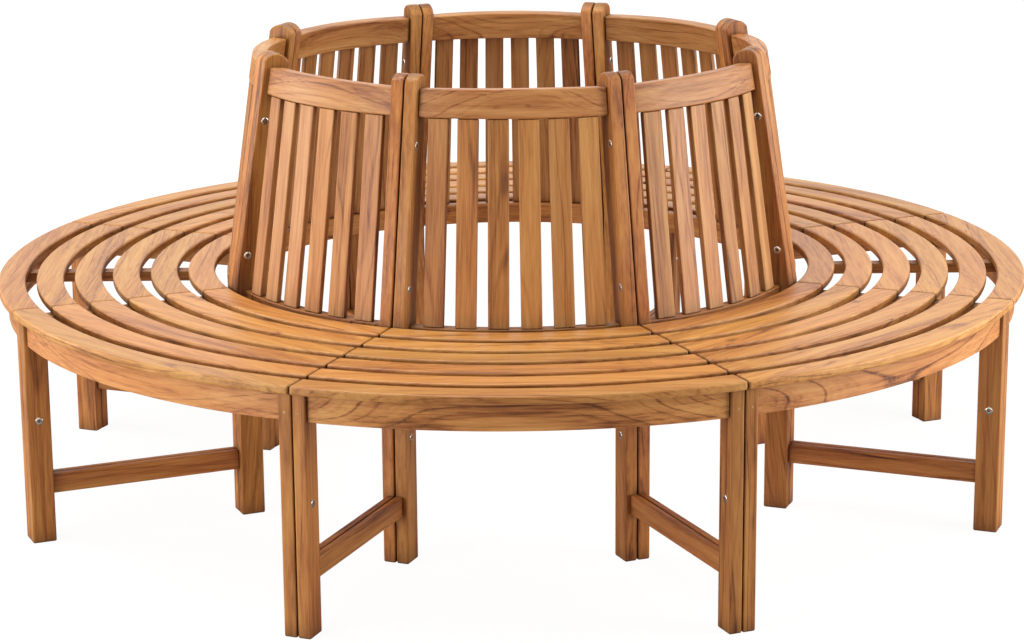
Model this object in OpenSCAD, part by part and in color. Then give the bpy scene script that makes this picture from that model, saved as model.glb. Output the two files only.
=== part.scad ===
// Round tree bench: eight sections of 45 degrees, each a small curved bench of its own with
// two front legs and two back posts, bolted side to side in a ring around a tree trunk.
// Millimetres, +Z up, the ground at z = 0 and the trunk's axis at x = y = 0.

/* [Overall] */
// Radius of the outer edge of the seat
seat_r = 1000; // [940:1:1080]
// Height of the top of the seat above the ground
seat_h = 448; // [400:1:480]
// Height of the rounded tops of the back posts
back_h = 891; // [850:1:930]
// Gap between the frames of two neighbouring sections
joint_gap = 2; // [1:0.1:4]

/* [Seat slats] */
// Number of curved slats across the seat
seat_slat_n = 6; // [5:1:7]
// Width of one seat slat
seat_slat_w = 52; // [46:0.5:58]
// Thickness of a seat slat
seat_slat_t = 16; // [13:0.5:20]
// Gap between neighbouring seat slats
seat_slat_gap = 21; // [14:0.5:24]
// Gap between the innermost slat and the back posts
seat_back_gap = 4.5; // [3:0.5:8]

/* [Legs and posts] */
// Width of a leg or post, across its section's end
leg_w = 24; // [22:0.5:30]
// Depth of a front leg, from its outer face inward
leg_d = 45; // [40:0.5:52]
// How far the seat's edge overhangs the front legs
leg_overhang = 11; // [6:0.5:14]
// Depth of the upright lower part of a back post
post_d = 46; // [42:0.5:52]
// Thickness of a back post above the seat, square to its lean
post_t = 49; // [46:0.5:54]
// Lean of the back toward the tree, in degrees
lean = 9.4; // [7:0.1:12]
// Rise of the rounded top of a back post
post_crown = 16; // [12:0.5:20]

/* [Rails] */
// Height of the curved apron between the front legs
apron_h = 50; // [44:1:60]
// Thickness of the apron
apron_t = 22; // [20:0.5:26]
// How far the apron's face stands back from the legs' outer faces
apron_inset = 7; // [4:0.5:9]
// Height of the curved rail between the back posts at the seat
seat_rail_h = 42; // [38:1:52]
// Thickness of that seat rail
seat_rail_t = 25; // [22:0.5:26]
// How far its face stands back from the posts' outer faces
seat_rail_inset = 19; // [16:0.5:20]
// How far its top lies below the top of the seat
seat_rail_drop = 2.5; // [1:0.5:5]
// Height of the curved top rail of the back in its middle, along the lean
top_rail_h = 53; // [48:1:60]
// Thickness of the top rail
top_rail_t = 29; // [27:0.5:33]
// How far its face stands back from the posts' outer faces
top_rail_inset = 11; // [8:0.5:13]
// Distance from the tip of a post down to the top rail, along the lean
top_rail_drop = 24; // [20:0.5:32]
// Fall of the top rail's upper face toward the tree, in degrees
top_rail_slope = 5; // [3:0.5:8]

/* [Back slats] */
// Number of upright slats in the back of one section
back_slat_n = 6; // [5:1:6]
// Width of one back slat
back_slat_w = 38; // [34:0.5:40]
// Thickness of a back slat
back_slat_t = 11; // [10:0.5:13]
// How far the slats' faces stand back from the face of the top rail
back_slat_inset = 2; // [1:0.5:3.5]
// How far their feet stand back from the posts' outer faces
back_slat_foot = 21; // [20:0.5:24]
// Angle between neighbouring back slats, in degrees
back_slat_angle = 6.15; // [5.8:0.05:6.3]

/* [Stretchers and bearers] */
// Height of the low stretcher between a front leg and a back post
stretcher_h = 38; // [32:1:46]
// Thickness of that stretcher
stretcher_w = 14; // [13:0.5:18]
// Height of the stretcher's underside above the ground
stretcher_z = 91; // [70:1:120]
// Height of the bearer under the slats at each end of a section
end_bearer_h = 45; // [42:1:50]
// Thickness of an end bearer
end_bearer_w = 18; // [16:0.5:20]
// Width of the flat bearer under the middle of the slats
mid_bearer_w = 30; // [26:1:40]
// Thickness of the middle bearer
mid_bearer_t = 20; // [18:0.5:22]
// How far its inner end stands back from the innermost slat's edge
mid_bearer_inset = 6; // [4:1:12]

/* [Joinery] */
// Length of the tenons of the three curved rails
rail_tenon_l = 16; // [14.5:0.5:18]
// Length of the tenons of the stretchers and end bearers
bar_tenon_l = 11; // [9:0.5:13]
// Thickness of the tenons of rails, stretchers and end bearers
tenon_t = 8; // [7:0.5:9]
// Shoulder above and below a tenon
shoulder = 8; // [6:0.5:10]
// Length of a back slat's tenons
slat_tenon_l = 15; // [12:0.5:20]
// Thickness of a back slat's tenons
slat_tenon_t = 7; // [6:0.5:8]
// Depth that the middle bearer is let into the apron
housing = 7; // [5:0.5:8]
// Clearance around tenons, bearers and fasteners
fit = 0.2; // [0.1:0.05:0.3]

/* [Fasteners] */
// Height of the joint bolts through the legs
leg_bolt_z = 237; // [180:1:300]
// Height of the back posts' lower joint bolt above the seat
low_bolt_rise = 64; // [50:1:110]
// Distance of the back posts' upper joint bolt below their tops
high_bolt_drop = 125; // [112:1:190]
// Distance of the posts' joint bolts behind the posts' outer faces
post_bolt_inset = 15.5; // [13:0.5:24]
// Diameter of a joint bolt's shank
bolt_d = 6; // [5:0.5:7]
// Outer diameter of the sleeve nut that the bolt screws into
sleeve_d = 9; // [8.5:0.5:10]
// Diameter of the flat heads of bolt and sleeve nut
head_d = 14.5; // [13:0.5:17]
// Thickness of those heads
head_t = 2.5; // [2:0.1:3.5]
// Depth of the counterbore that each head sits in
head_sink = 1.5; // [1:0.1:2]
// Size across the flats of the hexagon socket in each head
socket_af = 5; // [4:0.5:6]
// Depth of that socket
socket_deep = 2; // [1.5:0.1:2.3]
// Diameter of a seat screw's shank
screw_d = 4; // [3.5:0.5:5]
// Length of a seat screw under its head
screw_l = 30; // [27:0.5:32]
// Diameter of a seat screw's head
screw_head_d = 8; // [7:0.5:9]
// Height of a seat screw's head
screw_head_h = 3; // [2:0.5:4]
// Diameter of the wooden pin through each apron tenon
pin_d = 5; // [4:0.5:7]
// Length of that pin
pin_l = 28; // [24:1:29]
// Distance of the pin from the leg's inner side
pin_inset = 12; // [7:0.5:12]
// Distance of the pin below the top of the leg
pin_drop = 33; // [16:1:36]

/* [Hidden] */
$fn = 96;
sections = 8;
half = 180 / sections;
kinds = ["front_legs", "back_posts", "stretchers", "seat_bearers", "rails", "seat_slats", "back_slats"];

// Heights and radii that follow from the sizes above
bearer_z = seat_h - seat_slat_t;
leg_r = seat_r - leg_overhang;
leg_in = leg_r - leg_d;
seat_slat_pitch = seat_slat_w + seat_slat_gap;
seat_in = seat_r - seat_slat_n * seat_slat_w - (seat_slat_n - 1) * seat_slat_gap;
post_r = seat_in - seat_back_gap;
post_in = post_r - post_d;
apron_r = leg_r - apron_inset;
apron_in = apron_r - apron_t;
seat_rail_r = post_r - seat_rail_inset;
seat_rail_in = seat_rail_r - seat_rail_t;
seat_rail_top = seat_h - seat_rail_drop;
frame_y = joint_gap / 2;
inner_y = frame_y + leg_w;
tenon_y = inner_y - rail_tenon_l;
reach = 3 * seat_r;

// Positions along the lean: u runs back from the posts' outer face, v up along the post
post_tip = (back_h - seat_h + post_t / 2 * sin(lean)) / cos(lean);
rail_v1 = post_tip - top_rail_drop;
rail_v0 = rail_v1 - top_rail_h;
slat_u = top_rail_inset + back_slat_inset;
crown_r = (post_t * post_t / 4 + post_crown * post_crown) / (2 * post_crown);

function seat_slat_r(n) = seat_r - n * seat_slat_pitch;
function lean_x(u, v) = post_r - u * cos(lean) - v * sin(lean);
function lean_z(u, v) = seat_h - u * sin(lean) + v * cos(lean);
function lean_v(u, z) = (z - seat_h + u * sin(lean)) / cos(lean);
// The back slats lean a little less than the posts: their swing, and their length between rails
slat_swing = atan((back_slat_foot - slat_u) / rail_v0);
slat_l = (rail_v0 - lean_v(back_slat_foot + back_slat_t / 2, seat_rail_top)) / cos(slat_swing);
function back_slat_turn(k) = (k - (back_slat_n - 1) / 2) * back_slat_angle;

low_bolt_z = seat_h + low_bolt_rise;
high_bolt_z = back_h - high_bolt_drop;
// The four bolts of a joint as [radius, height]
bolts = [[leg_r - leg_d / 2, leg_bolt_z],
         [post_r - post_d / 2, leg_bolt_z],
         [lean_x(post_bolt_inset, lean_v(post_bolt_inset, low_bolt_z)), low_bolt_z],
         [lean_x(post_bolt_inset, lean_v(post_bolt_inset, high_bolt_z)), high_bolt_z]];
apron_screw_angles = [-16, -6, 6, 16];
screw_seat_z = bearer_z - mid_bearer_t;
pin_y = inner_y - pin_inset;
pin_z = bearer_z - pin_drop;

// Turns a section, drawn around the +X axis, to its place in the ring; section 1 faces -Y
module place(i) {
    rotate([0, 0, (i - 1) * 2 * half - 90]) children();
}

// The frame of one end of a section: x outward along the joint, y into the section
module at_end(side) {
    rotate([0, 0, side * half]) mirror([0, side > 0 ? 1 : 0, 0]) children();
}

module both_ends() {
    at_end(-1) children();
    at_end(1) children();
}

// The frame that leans with the back: x is u, z is v
module leaning() {
    translate([post_r, 0, seat_h]) rotate([0, -lean, 0]) mirror([1, 0, 0]) children();
}

// The space between a section's two ends, each cut back by y from its joint
module between_ends(y) {
    tip = y / sin(half);
    translate([0, 0, -reach / 2]) linear_extrude(reach)
        polygon([[tip, 0],
                 [tip + reach * cos(half), reach * sin(half)],
                 [tip + reach * cos(half), -reach * sin(half)]]);
}

// A curved bar with an upright rectangular section, between radii r0 and r1
module curved_bar(r0, r1, z0, z1, y) {
    intersection() {
        rotate([0, 0, -half]) rotate_extrude(angle = 2 * half)
            translate([r0, z0]) square([r1 - r0, z1 - z0]);
        between_ends(y);
    }
}

// A curved bar whose section leans with the back, from (u0, v0) to (u1, v1)
module leaning_bar(u0, u1, v0, v1, y) {
    intersection() {
        rotate([0, 0, -half]) rotate_extrude(angle = 2 * half)
            polygon([[lean_x(u0, v0), lean_z(u0, v0)],
                     [lean_x(u1, v0), lean_z(u1, v0)],
                     [lean_x(u1, v1), lean_z(u1, v1)],
                     [lean_x(u0, v1), lean_z(u0, v1)]]);
        between_ends(y);
    }
}

// The tenons of the three curved rails; grow = fit makes the mortises for them
module apron_tenons(grow = 0) {
    mid = (apron_r + apron_in) / 2;
    curved_bar(mid - tenon_t / 2 - grow, mid + tenon_t / 2 + grow,
               bearer_z - apron_h + shoulder - grow, bearer_z - shoulder + grow, tenon_y - grow);
}

module seat_rail_tenons(grow = 0) {
    mid = seat_rail_in + tenon_t;
    curved_bar(mid - tenon_t / 2 - grow, mid + tenon_t / 2 + grow,
               seat_rail_top - seat_rail_h + shoulder - grow, seat_rail_top - shoulder + grow, tenon_y - grow);
}

module top_rail_tenons(grow = 0) {
    mid = top_rail_inset + top_rail_t / 2;
    leaning_bar(mid - tenon_t / 2 - grow, mid + tenon_t / 2 + grow,
                rail_v0 + shoulder - grow, rail_v1 - shoulder + grow, tenon_y - grow);
}

// The top rail's body: a leaning bar planed off by one flat face that falls toward the tree
module top_rail() {
    difference() {
        leaning_bar(top_rail_inset, top_rail_inset + top_rail_t, rail_v0, rail_v1 + top_rail_t / 4, inner_y);
        translate([lean_x(top_rail_inset, rail_v1), 0, lean_z(top_rail_inset, rail_v1)])
            rotate([0, -top_rail_slope, 0]) translate([-reach / 2, -reach / 2, 0]) cube([reach, reach, reach]);
    }
}

// A bar from the front leg to the back post with a tenon at each end
module leg_to_post(w, z0, z1, ends, grow = 0) {
    y0 = frame_y + (w - tenon_t) / 2;
    if (ends)
        translate([post_r - bar_tenon_l - grow, y0 - grow, z0 + shoulder - grow])
            cube([leg_in - post_r + 2 * bar_tenon_l + 2 * grow, tenon_t + 2 * grow,
                  z1 - z0 - 2 * shoulder + 2 * grow]);
    if (grow == 0)
        translate([post_r, frame_y, z0]) cube([leg_in - post_r, w, z1 - z0]);
}

module stretcher(grow = 0) {
    leg_to_post(stretcher_w, stretcher_z, stretcher_z + stretcher_h, true, grow);
}

module end_bearer(grow = 0) {
    leg_to_post(end_bearer_w, bearer_z - end_bearer_h, bearer_z, true, grow);
}

// The middle bearer, let into the apron and ending under the innermost slat
module mid_bearer(grow = 0) {
    intersection() {
        translate([0, -mid_bearer_w / 2 - grow, screw_seat_z - grow])
            cube([reach, mid_bearer_w + 2 * grow, mid_bearer_t + 2 * grow]);
        curved_bar(seat_in + mid_bearer_inset - grow, apron_in + housing + grow,
                   screw_seat_z - grow, bearer_z + grow, frame_y);
    }
}

// The frame of a back slat: x runs back from its face, y across it and z up it, from its head
module slat_frame() {
    leaning() translate([slat_u, 0, rail_v0]) rotate([0, -slat_swing, 0])
        translate([0, -back_slat_w / 2, 0]) children();
}

// A back slat's two tenons, and its whole body between the rails
module back_slat_tenons(grow = 0) {
    slat_frame() translate([(back_slat_t - slat_tenon_t) / 2 - grow, shoulder - grow,
                            -slat_l - slat_tenon_l - grow])
        cube([slat_tenon_t + 2 * grow, back_slat_w - 2 * shoulder + 2 * grow,
              slat_l + 2 * slat_tenon_l + 2 * grow]);
}

module back_slat() {
    back_slat_tenons();
    difference() {
        slat_frame() translate([0, 0, -slat_l - slat_tenon_l])
            cube([back_slat_t, back_slat_w, slat_l + 2 * slat_tenon_l]);
        leaning() translate([-reach / 2, -reach / 2, rail_v0 - fit]) cube([reach, reach, reach]);
        translate([0, -reach / 2, seat_rail_top - reach]) cube([reach, reach, reach]);
    }
}

// Bores for the joint bolts and sinks for their heads, in the frame of an end
module bolt_holes(first, last) {
    for (k = [first : last])
        translate([bolts[k][0], 0, bolts[k][1]]) rotate([-90, 0, 0]) {
            cylinder(d = sleeve_d + 2 * fit, h = 2 * inner_y);
            translate([0, 0, inner_y - head_sink]) cylinder(d = head_d + 4 * fit, h = 2 * head_sink);
        }
}

module tenon_pin(grow = 0) {
    translate([leg_r - pin_l - grow, pin_y, pin_z]) rotate([0, 90, 0])
        cylinder(d = pin_d + 2 * grow, h = pin_l + 10 * grow);
}

// Where the seat screws stand: [radius along the bar, y in the frame of an end or angle]
module seat_screw_places() {
    for (n = [1 : seat_slat_n - 1]) {
        r = seat_slat_r(n) - seat_slat_w / 2;
        both_ends() translate([r, frame_y + end_bearer_w / 2, 0]) children();
        translate([r, 0, 0]) children();
    }
    for (a = apron_screw_angles)
        rotate([0, 0, a]) translate([(apron_r + apron_in) / 2, 0, 0]) children();
}

module screw_holes() {
    seat_screw_places() {
        cylinder(d = screw_d + 2 * fit, h = screw_seat_z + screw_l + fit);
        cylinder(d = screw_head_d + 4 * fit, h = screw_seat_z);
    }
}

module front_legs(i) {
    color("peru") place(i) difference() {
        both_ends() translate([leg_in, frame_y, 0]) cube([leg_d, leg_w, bearer_z]);
        apron_tenons(fit);
        both_ends() {
            stretcher(fit);
            end_bearer(fit);
            tenon_pin(fit);
            bolt_holes(0, 0);
        }
    }
}

// Side view of a back post: upright below the seat, leaning above it, rounded at the top
module post_profile() {
    polygon([[post_in, 0],
             [post_r, 0],
             [post_r, seat_h],
             [lean_x(0, post_tip - post_crown), lean_z(0, post_tip - post_crown)],
             [lean_x(post_t, post_tip - post_crown), lean_z(post_t, post_tip - post_crown)],
             [post_in, seat_h + (post_r - post_t / cos(lean) - post_in) / tan(lean)]]);
    translate([post_r, seat_h]) rotate(lean) intersection() {
        translate([-post_t / 2, post_tip - crown_r]) circle(crown_r);
        translate([-post_t, post_tip - 1.1 * post_crown]) square([post_t, 1.2 * post_crown]);
    }
}

module back_posts(i) {
    color("sienna") place(i) difference() {
        both_ends() translate([0, inner_y, 0]) rotate([90, 0, 0]) linear_extrude(leg_w) post_profile();
        seat_rail_tenons(fit);
        top_rail_tenons(fit);
        both_ends() {
            stretcher(fit);
            end_bearer(fit);
            bolt_holes(1, 3);
        }
    }
}

module stretchers(i) {
    color("burlywood") place(i) both_ends() stretcher();
}

module seat_bearers(i) {
    color("goldenrod") place(i) difference() {
        union() {
            both_ends() end_bearer();
            mid_bearer();
        }
        screw_holes();
    }
}

module rails(i) {
    color("chocolate") place(i) difference() {
        union() {
            curved_bar(apron_in, apron_r, bearer_z - apron_h, bearer_z, inner_y);
            apron_tenons();
            curved_bar(seat_rail_in, seat_rail_r, seat_rail_top - seat_rail_h, seat_rail_top, inner_y);
            seat_rail_tenons();
            top_rail();
            top_rail_tenons();
        }
        mid_bearer(fit);
        screw_holes();
        both_ends() tenon_pin(fit);
        for (k = [0 : back_slat_n - 1])
            rotate([0, 0, back_slat_turn(k)]) back_slat_tenons(fit);
    }
}

module seat_slats(i) {
    color("sandybrown") place(i) difference() {
        for (n = [0 : seat_slat_n - 1])
            curved_bar(seat_slat_r(n) - seat_slat_w, seat_slat_r(n), bearer_z, seat_h, frame_y);
        screw_holes();
    }
}

module back_slats(i) {
    color("tan") place(i) for (k = [0 : back_slat_n - 1])
        rotate([0, 0, back_slat_turn(k)]) back_slat();
}

// A flat round head with a hexagon socket, its underside at z = 0, on a shank of its own
module socket_head() {
    difference() {
        cylinder(d = head_d, h = head_t);
        translate([0, 0, head_t - socket_deep]) cylinder(d = socket_af / cos(30), h = head_t, $fn = 6);
    }
}

// Turns a fastener drawn along +Z into bolt k of every joint; the head is on the side given
module at_bolts(side) {
    for (i = [1 : sections], k = [0 : 3])
        place(i) at_end(side) translate([bolts[k][0], inner_y - head_sink, bolts[k][1]])
            rotate([-90, 0, 0]) children();
}

module joint_bolts() {
    bolt_l = 2 * inner_y - 2 * head_sink - head_t;
    color("silver") at_bolts(1) {
        socket_head();
        translate([0, 0, -bolt_l]) cylinder(d = bolt_d, h = bolt_l);
    }
}

module sleeve_nuts() {
    sleeve_l = inner_y + leg_w / 2;
    color("lightsteelblue") at_bolts(-1) difference() {
        union() {
            socket_head();
            translate([0, 0, -sleeve_l]) cylinder(d = sleeve_d, h = sleeve_l);
        }
        translate([0, 0, -2 * sleeve_l]) cylinder(d = bolt_d + 2 * fit, h = 2 * sleeve_l);
    }
}

module seat_screws() {
    color("gray") for (i = [1 : sections]) place(i) seat_screw_places() {
        translate([0, 0, screw_seat_z]) cylinder(d = screw_d, h = screw_l);
        translate([0, 0, screw_seat_z - screw_head_h]) cylinder(d = screw_head_d, h = screw_head_h);
    }
}

module tenon_pins() {
    color("wheat") for (i = [1 : sections]) place(i) both_ends() tenon_pin();
}

for (i = [1 : sections]) {
    front_legs(i);
    back_posts(i);
    stretchers(i);
    seat_bearers(i);
    rails(i);
    seat_slats(i);
    back_slats(i);
}
joint_bolts();
sleeve_nuts();
seat_screws();
tenon_pins();
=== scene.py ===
import math

import bpy
from mathutils import Matrix, Vector


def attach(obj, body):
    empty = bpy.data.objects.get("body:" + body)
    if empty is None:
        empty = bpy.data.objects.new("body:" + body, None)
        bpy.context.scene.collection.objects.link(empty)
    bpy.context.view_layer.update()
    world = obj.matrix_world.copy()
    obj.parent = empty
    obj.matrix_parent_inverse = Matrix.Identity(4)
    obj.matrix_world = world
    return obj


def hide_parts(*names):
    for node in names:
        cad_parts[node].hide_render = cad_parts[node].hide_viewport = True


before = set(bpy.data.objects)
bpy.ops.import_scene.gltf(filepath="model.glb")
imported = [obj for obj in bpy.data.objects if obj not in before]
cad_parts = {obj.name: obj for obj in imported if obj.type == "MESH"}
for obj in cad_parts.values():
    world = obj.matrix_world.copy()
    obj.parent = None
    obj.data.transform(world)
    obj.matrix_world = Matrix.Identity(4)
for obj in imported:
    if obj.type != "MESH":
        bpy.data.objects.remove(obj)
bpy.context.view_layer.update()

# ---------------------------------------------------------------- front legs
# Two square-sawn teak legs to a section, one at each end, bolted side by side to the next
# section's leg. Apron, end bearer and stretcher are tenoned into them. Each is planed on four
# sides and its edges are eased with sandpaper.
MM = 0.001
SECTIONS = 8
SECTION_TURN = 2 * math.pi / SECTIONS
FRONT = -math.pi / 2
FIRST_JOINT = FRONT + SECTION_TURN / 2
JOINT_GAP = 2 * MM
LEG_WIDTH = 24 * MM
LEG_DEPTH = 45 * MM
LEG_FACE = 989 * MM
LEG_BACK = LEG_FACE - LEG_DEPTH
LEG_EDGE = 3 * MM
SLAT_UNDERSIDE = 432 * MM


def add(tree, kind, settings=None, inputs=None):
    """Adds a node with its settings and inputs; an input is a value, a socket or a node."""
    node = tree.nodes.new(kind)
    for name, value in (settings or {}).items():
        setattr(node, name, value)
    for key, value in (inputs or {}).items():
        if isinstance(value, bpy.types.Node):
            value = next(out for out in value.outputs if out.enabled)
        if isinstance(value, bpy.types.NodeSocket):
            tree.links.new(value, node.inputs[key])
        else:
            node.inputs[key].default_value = value
    return node


def colour(hex_code):
    """An sRGB hex colour as the linear values that a shader takes."""
    parts = [int(hex_code[k:k + 2], 16) / 255 for k in (1, 3, 5)]
    return [p / 12.92 if p <= 0.04045 else ((p + 0.055) / 1.055) ** 2.4 for p in parts] + [1.0]


# Teak heartwood, kiln dried, planed, sanded and oiled: honey brown with growth rings up to
# 8 mm apart, darker bands and thin brown lines along the grain, and a soft satin sheen.
RING_PITCH = 8 * MM
RING_WANDER = 4.0
LATE_WOOD_SHARPNESS = 8.0
DARK_YEAR_RARITY = 1.8
YEARS_PER_BAND = 1 / 0.22
PITH_NEAREST, PITH_SPREAD = 18 * MM, 90 * MM
PITH_ASIDE = 70 * MM
PITH_SLOPE = 0.05
DEPTH_STRETCH = 0.4
# Length, width, detail and shift of each noise that is drawn out along the grain, from slow
# wander down to fibres. Real fibres are a few tenths of a millimetre wide, too fine to show,
# so they are drawn 2 mm wide.
STREAKS = {"wander": (420 * MM, 70 * MM, 1.0, 3.0), "patches": (260 * MM, 17 * MM, 2.0, 11.0),
           "veins": (150 * MM, 5 * MM, 2.0, 19.0), "fibres": (45 * MM, 2.2 * MM, 1.0, 27.0)}
STREAK_ROUGHNESS, BAND_ROUGHNESS = 0.55, 0.5
# How far a board's seed shifts its noises, the depth of its years and its bands
SEED_SPREAD = (31.0, 17.0, 23.0)
SEED_YEARS, SEED_BANDS = 97.0, 53.0
MEAN_TONE = 0.42
TONE_STOPS = (0.05, 0.45, 0.78, 1.0)
TONE_SHARES = {"bands": 0.8, "patches": 0.95, "veins": 0.65, "fibres": 0.5}
LATE_WOOD_SHARE = 0.65
BOARD_VALUE, BOARD_VALUE_SPREAD = 0.88, 0.2
BOARD_HUE, BOARD_HUE_SPREAD = 0.496, 0.008
END_GRAIN_FROM, END_GRAIN_TO, END_GRAIN_SHADE = 0.6, 0.95, 0.62
# Painted shade in corners and gaps between boards: how far the ambient occlusion reaches, where it
# starts and stops, and how dark it paints
PAINTED_SHADE_REACH, PAINTED_SHADE_DARKEST = 45 * MM, 0.2
PAINTED_SHADE_SHUT, PAINTED_SHADE_OPEN, PAINTED_SHADE_SAMPLES = 0.15, 0.9, 6
RELIEF_DEPTH, RELIEF_STRENGTH = 0.3 * MM, 0.3
SHEEN, SHEEN_SPREAD = 0.44, 0.14


def grained_wood(name, pale, honey, brown, dark, figure, polish=0.4):
    """Reads three marks of each board: its own place in the grain, its seed and its end grain."""
    wood = bpy.data.materials.new(name)
    wood.use_nodes = True
    tree = wood.node_tree
    tree.nodes.clear()
    grain = add(tree, "ShaderNodeAttribute", {"attribute_name": "grain"}).outputs["Vector"]
    seed = add(tree, "ShaderNodeAttribute", {"attribute_name": "board_seed"}).outputs["Vector"]
    end_grain = add(tree, "ShaderNodeAttribute", {"attribute_name": "end_grain"}).outputs["Fac"]
    seed_x, seed_y, seed_z = add(tree, "ShaderNodeSeparateXYZ", {}, {0: seed}).outputs
    along = add(tree, "ShaderNodeSeparateXYZ", {}, {0: grain}).outputs[0]
    chance = add(tree, "ShaderNodeTexWhiteNoise", {}, {"Vector": seed}).outputs["Color"]

    layers = {}
    for label, (length, width, detail, shift) in STREAKS.items():
        start = add(tree, "ShaderNodeVectorMath", {"operation": "MULTIPLY_ADD"},
                    {0: seed, 1: SEED_SPREAD, 2: (shift, shift, shift)})
        place = add(tree, "ShaderNodeVectorMath", {"operation": "MULTIPLY_ADD"},
                    {0: grain, 1: (1 / length, 1 / width, DEPTH_STRETCH / width), 2: start})
        streak = add(tree, "ShaderNodeTexNoise", {}, {
            "Vector": place, "Scale": 1.0, "Detail": detail, "Roughness": STREAK_ROUGHNESS})
        layers[label] = streak.outputs[0]

    # Growth rings stand round the tree's pith, which lies outside the board and a little askew:
    # boards cut near it show long arches, the others straight lines
    aside = add(tree, "ShaderNodeVectorMath", {"operation": "MULTIPLY_ADD"}, {
        0: seed, 1: (0.0, 2 * PITH_ASIDE, PITH_SPREAD), 2: (0.0, -PITH_ASIDE, PITH_NEAREST)})
    askew = add(tree, "ShaderNodeVectorMath", {"operation": "MULTIPLY_ADD"}, {
        0: chance, 1: (0.0, 2 * PITH_SLOPE, 2 * PITH_SLOPE), 2: (0.0, -PITH_SLOPE, -PITH_SLOPE)})
    askew = add(tree, "ShaderNodeVectorMath", {"operation": "SCALE"}, {0: askew, "Scale": along})
    pith = add(tree, "ShaderNodeVectorMath", {"operation": "ADD"}, {0: aside, 1: askew})
    pith = add(tree, "ShaderNodeVectorMath", {"operation": "MULTIPLY_ADD"},
               {0: grain, 1: (0.0, 1.0, 1.0), 2: pith})
    radius = add(tree, "ShaderNodeVectorMath", {"operation": "LENGTH"}, {0: pith})
    bend = add(tree, "ShaderNodeMath", {"operation": "MULTIPLY"},
               {0: layers["wander"], 1: RING_WANDER})
    ring = add(tree, "ShaderNodeMath", {"operation": "MULTIPLY_ADD"},
               {0: radius.outputs["Value"], 1: 1 / RING_PITCH, 2: bend})

    # The late wood of each year is a thin dark line, deep in some years and faint in most
    year = add(tree, "ShaderNodeMath", {"operation": "FLOOR"}, {0: ring})
    year = add(tree, "ShaderNodeMath", {"operation": "MULTIPLY_ADD"},
               {0: seed_x, 1: SEED_YEARS, 2: year})
    year = add(tree, "ShaderNodeTexWhiteNoise", {"noise_dimensions": "1D"}, {"W": year})
    year = add(tree, "ShaderNodeMath", {"operation": "POWER"},
               {0: year.outputs["Value"], 1: DARK_YEAR_RARITY})
    late = add(tree, "ShaderNodeMath", {"operation": "MULTIPLY"}, {0: ring, 1: 2 * math.pi})
    late = add(tree, "ShaderNodeMath", {"operation": "COSINE"}, {0: late})
    late = add(tree, "ShaderNodeMath", {"operation": "MULTIPLY_ADD"}, {0: late, 1: -0.5, 2: 0.5})
    late = add(tree, "ShaderNodeMath", {"operation": "POWER"}, {0: late, 1: LATE_WOOD_SHARPNESS})
    late = add(tree, "ShaderNodeMath", {"operation": "MULTIPLY"}, {0: late, 1: year})
    age = add(tree, "ShaderNodeMath", {"operation": "MULTIPLY_ADD"},
              {0: seed_y, 1: SEED_BANDS, 2: ring})
    age = add(tree, "ShaderNodeMath", {"operation": "MULTIPLY"}, {0: age, 1: 1 / YEARS_PER_BAND})
    layers["bands"] = add(tree, "ShaderNodeTexNoise", {"noise_dimensions": "1D"}, {
        "W": age, "Scale": 1.0, "Detail": 2.0, "Roughness": BAND_ROUGHNESS}).outputs[0]

    tone = MEAN_TONE
    for label, share in TONE_SHARES.items():
        centred = add(tree, "ShaderNodeMath", {"operation": "SUBTRACT"}, {0: layers[label], 1: 0.5})
        tone = add(tree, "ShaderNodeMath", {"operation": "MULTIPLY_ADD"},
                   {0: centred, 1: share * figure, 2: tone})
    tone = add(tree, "ShaderNodeMath", {"operation": "MULTIPLY_ADD", "use_clamp": True},
               {0: late, 1: LATE_WOOD_SHARE * figure, 2: tone})
    ramp = add(tree, "ShaderNodeValToRGB", {}, {"Fac": tone})
    stops = ramp.color_ramp.elements
    stops[0].position, stops[1].position = TONE_STOPS[0], TONE_STOPS[3]
    stops[0].color, stops[1].color = colour(pale), colour(dark)
    for position, tint in ((TONE_STOPS[1], honey), (TONE_STOPS[2], brown)):
        stops.new(position).color = colour(tint)

    # Each board is a little paler or darker and yellower or redder than its neighbour
    value = add(tree, "ShaderNodeMath", {"operation": "MULTIPLY_ADD"},
                {0: seed_z, 1: BOARD_VALUE_SPREAD, 2: BOARD_VALUE})
    hue = add(tree, "ShaderNodeMath", {"operation": "MULTIPLY_ADD"},
              {0: seed_x, 1: BOARD_HUE_SPREAD, 2: BOARD_HUE})
    toned = add(tree, "ShaderNodeHueSaturation", {},
                {"Hue": hue, "Value": value, "Color": ramp.outputs["Color"]})
    # End grain drinks more oil and turns darker
    darker = add(tree, "ShaderNodeMapRange", {"interpolation_type": "SMOOTHSTEP"}, {
        "Value": end_grain, "From Min": END_GRAIN_FROM, "From Max": END_GRAIN_TO,
        "To Min": 1.0, "To Max": END_GRAIN_SHADE})
    # Painted shade: the colour darkens in corners and in the gaps between boards, as far as the
    # ambient occlusion finds them shut in
    painted_shade = add(tree, "ShaderNodeAmbientOcclusion", {"samples": PAINTED_SHADE_SAMPLES},
                 {"Distance": PAINTED_SHADE_REACH})
    painted_shade = add(tree, "ShaderNodeMapRange", {}, {
        "Value": painted_shade.outputs["AO"], "From Min": PAINTED_SHADE_SHUT, "From Max": PAINTED_SHADE_OPEN,
        "To Min": PAINTED_SHADE_DARKEST, "To Max": 1.0})
    darker = add(tree, "ShaderNodeMath", {"operation": "MULTIPLY"}, {0: darker, 1: painted_shade})
    shade = add(tree, "ShaderNodeVectorMath", {"operation": "SCALE"}, {0: toned, "Scale": darker})

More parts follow.
